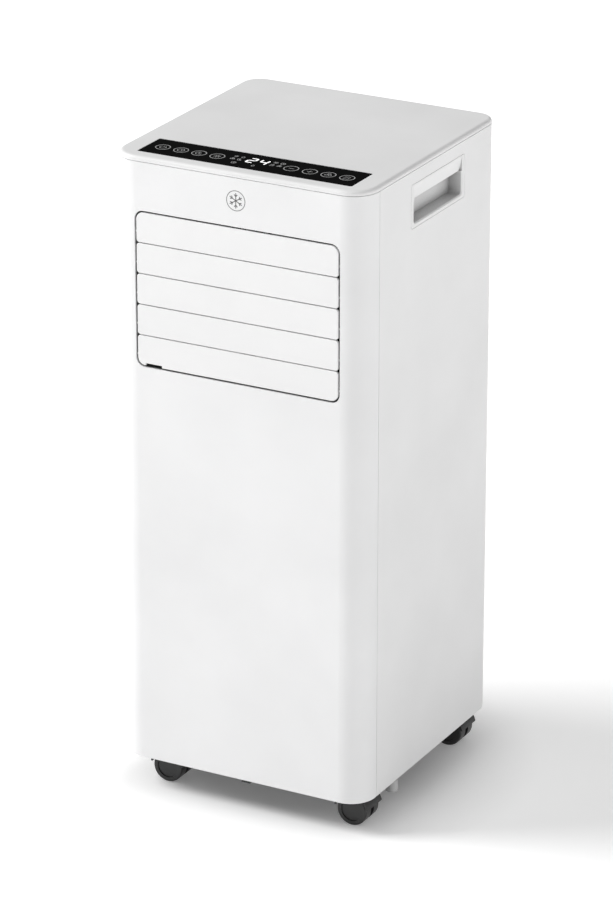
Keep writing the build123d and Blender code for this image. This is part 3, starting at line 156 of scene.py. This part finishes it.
def moulded(name, colour, worn, roughness, grain, depth, metallic=0.0, edge=0.0006, shine=0.5,
            painted_shade=None):
    """Moulded or drawn material: fine grain, slow colour drift, uneven gloss and worn edges.

    worn is the colour of the edges, edge their radius in metres, grain the bumps per metre and
    depth their height in metres. The last argument, when given, is a painted shade: a darker
    colour put into recesses where shade falls.
    """
    material, tree, shader, add = new_material(name)
    drift = object_noise(add, DRIFT_SCALE, 3.0)
    darker = tuple(c * DRIFT_SHADE for c in colour[:3]) + (1.0,)
    body = mix_colour(add, spread(add, drift, 0.0, 1.0), colour, darker)
    # painted shade: the colour turns to the given shade colour deep in recesses, found by ambient
    # occlusion
    if painted_shade:
        body = mix_colour(add, hollow_mask(add, PAINTED_SHADE_REACH), body, painted_shade)
    worn_share = spread(add, object_noise(add, WEAR_SCALE), *WEAR_SHARE)
    worn_here = add("ShaderNodeMath", {0: edge_mask(add, edge), 1: worn_share},
                    operation="MULTIPLY").outputs["Value"]
    tree.links.new(mix_colour(add, worn_here, body, worn), shader.inputs["Base Color"])
    gloss = spread(add, object_noise(add, GLOSS_SCALE, 3.0), roughness - GLOSS_CHANGE,
                   roughness + GLOSS_CHANGE)
    tree.links.new(gloss, shader.inputs["Roughness"])
    bump = add("ShaderNodeBump", {"Height": object_noise(add, grain), "Strength": 0.6,
                                  "Distance": depth})
    tree.links.new(bump.outputs["Normal"], shader.inputs["Normal"])
    shader.inputs["Metallic"].default_value = metallic
    shader.inputs["Specular IOR Level"].default_value = shine
    return material


PRINT_SHADE = 0.8        # of the colour in the darker speckles
PRINT_SCALE = 900.0
PRINT_GLOSS_SCALE = 1500.0
PRINT_ROUGHNESS = (0.35, 0.6)


def printed(name, colour, glow=0.0):
    """Screen-printed ink or a lit segment, speckled as a print is."""
    material, tree, shader, add = new_material(name)
    dull = tuple(c * PRINT_SHADE for c in colour[:3]) + (1.0,)
    speckle = spread(add, object_noise(add, PRINT_SCALE), 0.0, 1.0)
    ink = mix_colour(add, speckle, colour, dull)
    tree.links.new(ink, shader.inputs["Base Color"])
    tree.links.new(spread(add, object_noise(add, PRINT_GLOSS_SCALE), *PRINT_ROUGHNESS),
                   shader.inputs["Roughness"])
    if glow:
        tree.links.new(ink, shader.inputs["Emission Color"])
        shader.inputs["Emission Strength"].default_value = glow
    return material


WHITE = grey(243, (1.0, 1.0, 1.003))
# Each slot's material: its name, colour, worn edges, roughness, grain, grain depth and metallic.
MATERIALS = {
    "front_white": moulded("front_abs", WHITE, grey(252), 0.42, 2600.0, 0.00003),
    "side_white": moulded("side_abs", grey(241), grey(252), 0.46, 2200.0, 0.00004),
    "louver_white": moulded("louver_abs", grey(244), grey(252), 0.40, 2600.0, 0.00003),
    "inner_grey": moulded("inner_grey_pp", grey(40), grey(58), 0.55, 1500.0, 0.00005),
    "inner_white": moulded("natural_abs", grey(214, (1.0, 0.99, 0.96)), grey(235), 0.5, 1500.0,
                           0.00005),
    "foam_white": moulded("scroll_eps", grey(228), grey(240), 0.75, 420.0, 0.0002),
    "fan_black": moulded("fan_black_pp", grey(38), grey(66), 0.45, 1500.0, 0.00004),
    "panel_black": moulded("panel_gloss", grey(2), grey(6), 0.14, 300.0, 0.000002, shine=0.004),
    "board_green": moulded("board_green", (0.012, 0.12, 0.035, 1.0), grey(150), 0.4, 800.0,
                           0.00005),
    "display_white": moulded("display_lens", grey(60), grey(90), 0.2, 900.0, 0.00001),
    "motor_steel": moulded("plated_steel", grey(150), grey(196), 0.34, 900.0, 0.00002, 1.0),
    "shaft_steel": moulded("ground_steel", grey(186), grey(215), 0.22, 1400.0, 0.00001, 1.0),
    "fin_aluminium": moulded("fin_foil", grey(232), grey(240), 0.42, 700.0, 0.00002, 0.6),
    "tube_copper": moulded("drawn_copper", (0.63, 0.27, 0.13, 1.0), (0.80, 0.42, 0.24, 1.0), 0.3,
                           600.0, 0.00002, 1.0),
    "comp_black": moulded("stove_enamel", grey(24), grey(70), 0.34, 500.0, 0.00008),
    "pump_iron": moulded("cast_iron", grey(78), grey(110), 0.6, 900.0, 0.0001, 1.0),
    "rubber_black": moulded("black_rubber", grey(34), grey(58), 0.7, 1200.0, 0.00006),
    "filter_grey": moulded("filter_nylon", grey(52), grey(80), 0.6, 2400.0, 0.00003),
    "caster_black": moulded("caster_nylon", grey(36), grey(74), 0.38, 1600.0, 0.00005),
    "plug_white": moulded("plug_rubber", grey(196), grey(216), 0.6, 1200.0, 0.00005),
    "screw_steel": moulded("zinc_screw", grey(176), grey(214), 0.3, 1500.0, 0.00002, 1.0),
    "capacitor_can": moulded("capacitor_can", grey(190), grey(220), 0.3, 800.0, 0.00001, 1.0),
}
INK = printed("key_ink", grey(178))
MARK_INK = printed("mark_ink", grey(112))
LIT = printed("lit_segment", grey(236), 0.9)
# Materials of single nodes that differ from the rest of their slot, both with painted shade.
# the grip gets painted shade: grey(176) deep in its pocket
GRIP_WHITE = moulded("grip_abs", grey(241), grey(252), 0.5, 2200.0, 0.00004, painted_shade=grey(176))
# the louvre frame is light plastic; this darker mid grey is painted shade in the louvre's gap and
# sill
FRAME_PAINTED_SHADE = moulded("frame_abs", grey(122), grey(146), 0.5, 1500.0, 0.00004)
OWN_PAINTED_SHADE = {"grip_right": GRIP_WHITE, "grip_left": GRIP_WHITE, "louver_frame": FRAME_PAINTED_SHADE}
for entry in frame["record"]["subparts"]:
    for place in nodes[entry["node"]].material_slots:
        place.material = OWN_PAINTED_SHADE.get(entry["node"], MATERIALS[entry["material_slot"]])


# ---------------------------------------------------------------- mesh helpers
def piece(name, bm, body, material):
    """The mesh as a piece that rides on a body."""
    bmesh.ops.recalc_face_normals(bm, faces=bm.faces)
    mesh = bpy.data.meshes.new(name)
    bm.to_mesh(mesh)
    bm.free()
    mesh.materials.append(material)
    made = bpy.data.objects.new(name, mesh)
    bpy.context.collection.objects.link(made)
    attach(made, body)
    return made


def islands(node):
    """Lowest and highest corner of each separate solid in a CAD node."""
    bm = bmesh.new()
    bm.from_mesh(nodes[node].data)
    bmesh.ops.remove_doubles(bm, verts=bm.verts, dist=0.001 * MM)
    left = set(bm.verts)
    found = []
    while left:
        group = []
        waiting = [left.pop()]
        while waiting:
            vert = waiting.pop()
            group.append(vert.co)
            for link in vert.link_edges:
                other = link.other_vert(vert)
                if other in left:
                    left.remove(other)
                    waiting.append(other)
        found.append((Vector(min(co[k] for co in group) for k in range(3)),
                      Vector(max(co[k] for co in group) for k in range(3))))
    bm.free()
    return found


def ribbon(bm, points, width, thickness, closed=False):
    """A raised line through flat points, width wide and thickness high."""
    rings = []
    count = len(points)
    for k, (x, y) in enumerate(points):
        back = points[k - 1] if k or closed else points[k]
        ahead = points[(k + 1) % count] if k + 1 < count or closed else points[k]
        along = Vector((ahead[0] - back[0], ahead[1] - back[1])).normalized()
        side = Vector((-along.y, along.x)) * width / 2
        corners = ((1, 0.0), (-1, 0.0), (-1, thickness), (1, thickness))
        rings.append([bm.verts.new((x + way * side.x, y + way * side.y, z)) for way, z in corners])
    pairs = list(zip(rings, rings[1:])) + ([(rings[-1], rings[0])] if closed else [])
    for first, second in pairs:
        for k in range(4):
            bm.faces.new((first[k], first[(k + 1) % 4], second[(k + 1) % 4], second[k]))
    if not closed:
        bm.faces.new(rings[0])
        bm.faces.new(rings[-1])


def arc(x, y, r, start, end, steps=24):
    """Points along an arc about (x, y), from one angle to another in degrees."""
    angles = [math.radians(start + (end - start) * k / steps) for k in range(steps + 1)]
    return [(x + r * math.cos(a), y + r * math.sin(a)) for a in angles]


def ring(x, y, r, steps=48):
    """Points round a circle, without the first one again at the end."""
    return arc(x, y, r, 0, 360 - 360 / steps, steps - 1)


def plate(bm, corner, far):
    """A box between two corners."""
    made = bmesh.ops.create_cube(bm, size=1.0)["verts"]
    size = far - corner
    bmesh.ops.scale(bm, vec=size, verts=made)
    bmesh.ops.translate(bm, vec=(corner + far) / 2, verts=made)


# ---------------------------------------------------------------- symbols
# Each symbol is a list of (points, closed), in millimetres about its own middle.
def snowflake(r, fork_at=0.55, fork_l=0.34, fork_angle=42):
    """Six arms, each with a fork on its outer part; lengths are shares of r."""
    lines = []
    for k in range(6):
        a = math.radians(60 * k + 30)
        tip = Vector((math.cos(a), math.sin(a)))
        lines.append(([(0.0, 0.0), tuple(tip * r)], False))
        fork = tip * r * fork_at
        for turn in (-1, 1):
            b = a + turn * math.radians(fork_angle)
            end = fork + Vector((math.cos(b), math.sin(b))) * r * fork_l
            lines.append(([tuple(fork), tuple(end)], False))
    return lines


def power():
    return [(arc(0, 0, 2.7, 125, 415), False), ([(0, 0.9), (0, 3.4)], False)]


def timer():
    return [(ring(0, 0, 3.0), True), ([(0, 2.0), (0, 0), (1.6, -0.9)], False)]


def moon():
    return [(arc(0, 0, 3.0, 70, 340) + arc(1.7, 1.0, 2.3, 290, 120), True)]


def sun(ray_from=2.2, ray_to=3.3):
    rays = []
    for k in range(8):
        a = math.radians(45 * k)
        rays.append(([(math.cos(a) * r, math.sin(a) * r) for r in (ray_from, ray_to)], False))
    return [(ring(0, 0, 1.4, 24), True)] + rays


def minus():
    return [([(-2.6, 0), (2.6, 0)], False)]


def plus():
    return minus() + [([(0, -2.6), (0, 2.6)], False)]


def fan(blade_at=1.9, blade_r=1.25):
    lines = [(ring(0, 0, 0.6, 16), True)]
    for k in range(3):
        a = 120 * k + 90
        x = blade_at * math.cos(math.radians(a))
        y = blade_at * math.sin(math.radians(a))
        lines.append((arc(x, y, blade_r, a - 150, a + 120, 16), False))
    return lines


def swing():
    chevrons = [([(-2.8, 1.2 + d), (0, 2.9 + d), (2.8, 1.2 + d)], False) for d in (0.0, -2.6)]
    return chevrons + [([(-2.8, -3.2), (2.8, -3.2)], False)]


def drop():
    return [([(0, 3.0)] + arc(0, -0.6, 1.9, 150, 390, 16), True)]


def draw(bm, symbol, place, size, width, thickness):
    """Adds a symbol, scaled by size, about a place."""
    for points, closed in symbol:
        moved = [(place[0] + size * x, place[1] + size * y) for x, y in points]
        ribbon(bm, moved, width, thickness, closed)


def print_on(bm, origin, right, up):
    """Moves a drawing in millimetres to a plane in the frame."""
    out = right.cross(up)
    turn = Matrix((right, up, out)).transposed().to_4x4()
    bm.transform(Matrix.Translation(origin) @ turn @ Matrix.Scale(MM, 4))


# ---------------------------------------------------------------- touch panel
# Sizes in millimetres.
INK_T = 0.06             # height of printed ink
KEY_R = 7.5
KEY_LINE = 0.9
KEY_SYMBOL_SIZE = 1.25
KEY_SYMBOL_LINE = 0.65
KEY_SYMBOLS = (power, timer, moon, sun, minus, plus, fan, swing)
ROUND_WITHIN = 0.2       # a touch spring's box is square to within this
DIGIT_HALF_W = 3.8
DIGIT_HALF_H = 6.4
DIGIT_BAR = 1.9
DIGIT_SLANT = 0.10
DIGIT_X = 6.6            # of each digit from the middle of the pair
DIGITS_SHIFT = (2, 4)    # from the display's middle and from the panel's, x and y
LIGHT_SIZE = 0.8
LIGHT_LINE = 0.7
MARK_R = 8.0
MARK_LINE = 0.9
MARK_RING_R = 10.4
MARK_RING_LINE = 0.7
MARK_RISE = 3            # above halfway from the louvre to the top
panel_low, panel_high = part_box("touch_panel")
panel_middle = (panel_low + panel_high) / 2
RIGHT, BACK, UP = Vector((1, 0, 0)), Vector((0, 1, 0)), Vector((0, 0, 1))


def touch_keys():
    """A printed ring and symbol over each touch spring, the control board's only round solids."""
    springs = [(a + b) / 2 for a, b in islands("control_board")
               if abs((b - a).x - (b - a).y) < ROUND_WITHIN * MM]
    springs.sort(key=lambda place: place.x)
    for k, (spring, symbol) in enumerate(zip(springs, KEY_SYMBOLS)):
        bm = bmesh.new()
        ribbon(bm, ring(0, 0, KEY_R, 72), KEY_LINE, INK_T, True)
        draw(bm, symbol(), (0, 0), KEY_SYMBOL_SIZE, KEY_SYMBOL_LINE, INK_T)
        print_on(bm, Vector((spring.x, spring.y, panel_high.z)), RIGHT, BACK)
        piece(f"key_{k + 1}", bm, "cabinet", INK)


SEGMENTS = {"2": "abged", "4": "fgbc"}
SEGMENT_ENDS = {"a": "tl tr", "b": "tr mr", "c": "mr br", "d": "bl br", "e": "ml bl", "f": "tl ml",
                "g": "ml mr"}


def segment_bar(bm, start, end, width):
    """A lit bar with pointed ends."""
    a, b = Vector(start), Vector(end)
    along = (b - a).normalized()
    side = Vector((-along.y, along.x)) * width / 2
    tip = along * width / 2
    outline = (a, a + tip + side, b - tip + side, b, b - tip - side, a + tip - side)
    lower = [bm.verts.new((v.x, v.y, 0)) for v in outline]
    upper = [bm.verts.new((v.x, v.y, INK_T)) for v in outline]
    bm.faces.new(lower)
    bm.faces.new(upper)
    for k in range(6):
        bm.faces.new((lower[k], lower[(k + 1) % 6], upper[(k + 1) % 6], upper[k]))


def display_digits():
    """Two seven-segment digits over the display module."""
    low_corner, high_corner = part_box("display_module")
    middle_x = (low_corner.x + high_corner.x) / 2
    w = DIGIT_HALF_W
    h = DIGIT_HALF_H
    corners = {"tl": (-w, h), "tr": (w, h), "ml": (-w, 0), "mr": (w, 0), "bl": (-w, -h),
               "br": (w, -h)}
    bm = bmesh.new()
    for digit, x in (("2", -DIGIT_X), ("4", DIGIT_X)):
        for name in SEGMENTS[digit]:
            ends = (corners[key] for key in SEGMENT_ENDS[name].split())
            pair = [(x + px + DIGIT_SLANT * py, py) for px, py in ends]
            segment_bar(bm, *pair, DIGIT_BAR)
    right, back = (shift * MM for shift in DIGITS_SHIFT)
    place = Vector((middle_x + right, panel_middle.y + back, panel_high.z))
    print_on(bm, place, RIGHT, BACK)
    piece("display_digits", bm, "cabinet", LIT)


# Symbols round the display, with their places about the panel's middle.
LIGHTS = ((snowflake(3.0), (-25, 9)), (drop(), (-17, 9)), (fan(), (-25, 1)), (moon(), (-17, 1)),
          (sun(), (20, 9)), (timer(), (28, 9)), (swing(), (20, 1)), (fan(), (28, 1)),
          (timer(), (-18, -10)), (drop(), (4, -10)))


def panel_lights():
    """Small printed symbols round the display."""
    bm = bmesh.new()
    for symbol, place in LIGHTS:
        draw(bm, symbol, place, LIGHT_SIZE, LIGHT_LINE, INK_T)
    print_on(bm, Vector((panel_middle.x, panel_middle.y, panel_high.z)), RIGHT, BACK)
    piece("panel_lights", bm, "cabinet", INK)


def front_mark():
    """A plain snowflake printed between the louvre and the top."""
    front_low, front_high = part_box("front_panel")
    outlet_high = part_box("louver_1")[1]
    bm = bmesh.new()
    draw(bm, snowflake(MARK_R), (0, 0), 1.0, MARK_LINE, INK_T)
    draw(bm, [(ring(0, 0, MARK_RING_R, 72), True)], (0, 0), 1.0, MARK_RING_LINE, INK_T)
    place = Vector((0, front_low.y, (outlet_high.z + front_high.z) / 2 + MARK_RISE * MM))
    print_on(bm, place, RIGHT, UP)
    piece("front_mark", bm, "cabinet", MARK_INK)


# ---------------------------------------------------------------- coils, filter, screws
def dense_fins(node):
    """A coil's rippled foil fins at their real spacing, between two end plates."""
    low_corner, high_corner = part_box(node)
    pitch = 1.8 * MM
    foil = 0.12 * MM
    ripple = 0.35 * MM
    end = 1.2 * MM
    stations = 9
    bm = bmesh.new()
    count = int((high_corner.x - low_corner.x - 2 * end) / pitch)
    first = (low_corner.x + high_corner.x - (count - 1) * pitch) / 2
    for k in range(count):
        x = first + k * pitch
        rows = []
        for n in range(stations):
            y = low_corner.y + (high_corner.y - low_corner.y) * n / (stations - 1)
            side = ripple * (n % 2)
            rows.append([bm.verts.new((x + side, y, z)) for z in (low_corner.z, high_corner.z)])
        for a, b in zip(rows, rows[1:]):
            bm.faces.new((a[0], b[0], b[1], a[1]))
    bmesh.ops.solidify(bm, geom=bm.faces[:], thickness=foil)
    for x in (low_corner.x, high_corner.x - end):
        plate(bm, Vector((x, low_corner.y, low_corner.z)),
              Vector((x + end, high_corner.y, high_corner.z)))
    made = piece("foil_" + node, bm, "cabinet", MATERIALS["fin_aluminium"])
    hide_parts(node)


def filter_net():
    """The washable filter: a frame of four bars with a fine woven net."""
    a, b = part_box("upper_filter")
    rim = 5.0 * MM
    pitch = 2.4 * MM
    strand = 0.35 * MM
    bm = bmesh.new()
    for x0, x1 in ((a.x, a.x + rim), (b.x - rim, b.x)):
        plate(bm, Vector((x0, a.y, a.z)), Vector((x1, b.y, b.z)))
    for z0, z1 in ((a.z, a.z + rim), (b.z - rim, b.z)):
        plate(bm, Vector((a.x + rim, a.y, z0)), Vector((b.x - rim, b.y, z1)))
    middle_y = (a.y + b.y) / 2
    columns = int((b.x - a.x - 2 * rim) / pitch)
    rows = int((b.z - a.z - 2 * rim) / pitch)
    for k in range(1, columns):
        x = a.x + rim + k * (b.x - a.x - 2 * rim) / columns
        plate(bm, Vector((x - strand / 2, middle_y, a.z + rim / 2)),
              Vector((x + strand / 2, middle_y + strand, b.z - rim / 2)))
    for k in range(1, rows):
        z = a.z + rim + k * (b.z - a.z - 2 * rim) / rows
        plate(bm, Vector((a.x + rim / 2, middle_y - strand, z - strand / 2)),
              Vector((b.x - rim / 2, middle_y, z + strand / 2)))
    made = piece("filter_net", bm, "filter_door", MATERIALS["filter_grey"])
    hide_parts("upper_filter")


SCREW_HEAD = 2.4 * MM
SCREW_TURNS = 40
# The head's outline from its middle out: share of its radius, and depth as a share of its height.
HEAD_OUTLINE = [(0.02, 0.0), (0.12, 0.0), (0.2, 0.0), (0.28, 0.01), (0.36, 0.02), (0.44, 0.04),
                (0.52, 0.06), (0.6, 0.1), (0.72, 0.18), (0.84, 0.32), (0.94, 0.55), (1.0, 0.8),
                (1.0, 1.0)]
THREAD_ROOT = 0.38       # of the head's radius
THREAD_CREST = 0.52
THREAD_TIP = 0.05
THREADS = 9
THREAD_FROM = 1.15       # of the head's height, from the head's top to the first root
THREAD_RISE = 0.2        # from a root to its crest
THREAD_PITCH = 0.42
TIP_GAP = 0.15           # from where the next root would be to the tip
CROSS_HALF = 0.11        # half the width of the recess's arms, of the head's radius
CROSS_REACH = 0.62
CROSS_DEPTH = 0.5        # of the head's height


def screw_outline():
    """(share of the head's radius, share of its height) from the head's middle to the tip."""
    shank = [(THREAD_CREST, 1.0)]
    for k in range(THREADS):
        root_at = THREAD_FROM + THREAD_PITCH * k
        shank.append((THREAD_ROOT, root_at))
        shank.append((THREAD_CREST, root_at + THREAD_RISE))
    shank.append((THREAD_TIP, THREAD_FROM + THREAD_PITCH * THREADS + TIP_GAP))
    return HEAD_OUTLINE + shank


def screw_ring(bm, share, depth_share, low_corner, high_corner):
    """One ring of a screw's surface, sunk where the cross recess passes."""
    x = (low_corner.x + high_corner.x) / 2
    z = (low_corner.z + high_corner.z) / 2
    r = (high_corner.x - low_corner.x) / 2
    row = []
    for n in range(SCREW_TURNS):
        t = 2 * math.pi * n / SCREW_TURNS
        u = share * math.cos(t)
        v = share * math.sin(t)
        on_head = depth_share < 1.0
        in_arm = on_head and share < CROSS_REACH and min(abs(u), abs(v)) < CROSS_HALF
        depth = (CROSS_DEPTH if in_arm else depth_share) * SCREW_HEAD
        row.append(bm.verts.new((x + u * r, max(high_corner.y - depth, low_corner.y), z + v * r)))
    return row


def screw_set():
    """Pan-head screws with a cross recess and a ribbed shank."""
    bm = bmesh.new()
    outline = screw_outline()
    for low_corner, high_corner in islands("screws"):
        grid = [screw_ring(bm, *shares, low_corner, high_corner) for shares in outline]
        for first, second in zip(grid, grid[1:]):
            for n in range(SCREW_TURNS):
                ahead = (n + 1) % SCREW_TURNS
                bm.faces.new((first[n], first[ahead], second[ahead], second[n]))
        bm.faces.new(grid[0])
        bm.faces.new(grid[-1])
    made = piece("cross_screws", bm, "cabinet", MATERIALS["screw_steel"])
    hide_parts("screws")


touch_keys()
display_digits()
panel_lights()
front_mark()
dense_fins("evaporator_fins")
dense_fins("condenser_fins")
filter_net()
screw_set()


# ---------------------------------------------------------------- stage
FLOOR_GLOW = (0.32, 0.66)         # of the floor near the object and away from it; the lower glow near the object is painted shade round it
FLOOR_GLOW_REACH = (0.5, 2.6)     # metres from the object
UNDER_PAINTED_SHADOW = (-0.22, 0.0)         # less glow under the object than clear of it, a painted shadow under the object
UNDER_PAINTED_SHADOW_REACH = (0.12, 0.25)


def floor():
    """A pale floor that glows a little, more so away from the object, so that it looks white; the
    weaker glow near the object and under it is painted shadow.
    """
    mesh = bpy.data.meshes.new("floor")
    half = 14.0
    mesh.from_pydata([(-half, -half, 0), (half, -half, 0), (half, half, 0), (-half, half, 0)], [],
                     [(0, 1, 2, 3)])
    ground = bpy.data.objects.new("floor", mesh)
    bpy.context.collection.objects.link(ground)
    material, tree, shader, add = new_material("studio_floor")
    tone = mix_colour(add, spread(add, object_noise(add, 1.5), 0.0, 1.0), grey(250), grey(247))
    tree.links.new(tone, shader.inputs["Base Color"])
    shader.inputs["Roughness"].default_value = 0.6
    shader.inputs["Emission Color"].default_value = (1.0, 1.0, 1.0, 1.0)
    place = add("ShaderNodeTexCoord").outputs["Object"]
    away = add("ShaderNodeVectorMath", {0: place}, operation="LENGTH").outputs["Value"]
    glow = add("ShaderNodeMath", {0: spread(add, away, *FLOOR_GLOW, *FLOOR_GLOW_REACH),
                                  1: spread(add, away, *UNDER_PAINTED_SHADOW, *UNDER_PAINTED_SHADOW_REACH)},
               operation="ADD").outputs["Value"]
    tree.links.new(glow, shader.inputs["Emission Strength"])
    mesh.materials.append(material)


def aim(obj, target):
    """Turns a light or camera to look at a place."""
    obj.rotation_euler = (Vector(target) - obj.location).to_track_quat("-Z", "Y").to_euler()


def area_light(name, place, target, size, watts):
    """A round lamp, size metres across."""
    data = bpy.data.lights.new(name, "AREA")
    data.shape = "DISK"
    data.size = size
    data.energy = watts
    light = bpy.data.objects.new(name, data)
    light.location = place
    bpy.context.collection.objects.link(light)
    aim(light, target)


def world(level):
    """An even white surrounding."""
    scene_world = bpy.data.worlds.new("studio")
    scene_world.use_nodes = True
    background = scene_world.node_tree.nodes["Background"]
    background.inputs["Color"].default_value = (1.0, 1.0, 1.0, 1.0)
    background.inputs["Strength"].default_value = level
    bpy.context.scene.world = scene_world


def camera(azimuth, elevation, distance, target, focal):
    """Azimuth 0 looks along +Y, and a positive one moves the camera towards +X."""
    data = bpy.data.cameras.new("camera")
    data.sensor_fit = "VERTICAL"
    data.sensor_height = 36.0
    data.lens = focal
    view = bpy.data.objects.new("camera", data)
    a, e = math.radians(azimuth), math.radians(elevation)
    away = Vector((math.sin(a) * math.cos(e), -math.cos(a) * math.cos(e), math.sin(e)))
    view.location = Vector(target) + away * distance
    bpy.context.collection.objects.link(view)
    aim(view, target)
    bpy.context.scene.camera = view


middle = (low + high) / 2
floor()
world(0.38)
area_light("key", middle + Vector((-8.4, -3.3, 8.0)), middle, size=5.2, watts=1072.0)
area_light("fill", middle + Vector((4.8, 0.3, 0.0)), middle, size=2.0, watts=31.0)
camera(azimuth=28.27, elevation=21.75, distance=4.70, target=(0.0, 0.0, 0.342), focal=176.0)
bpy.context.scene.view_settings.view_transform = "Standard"
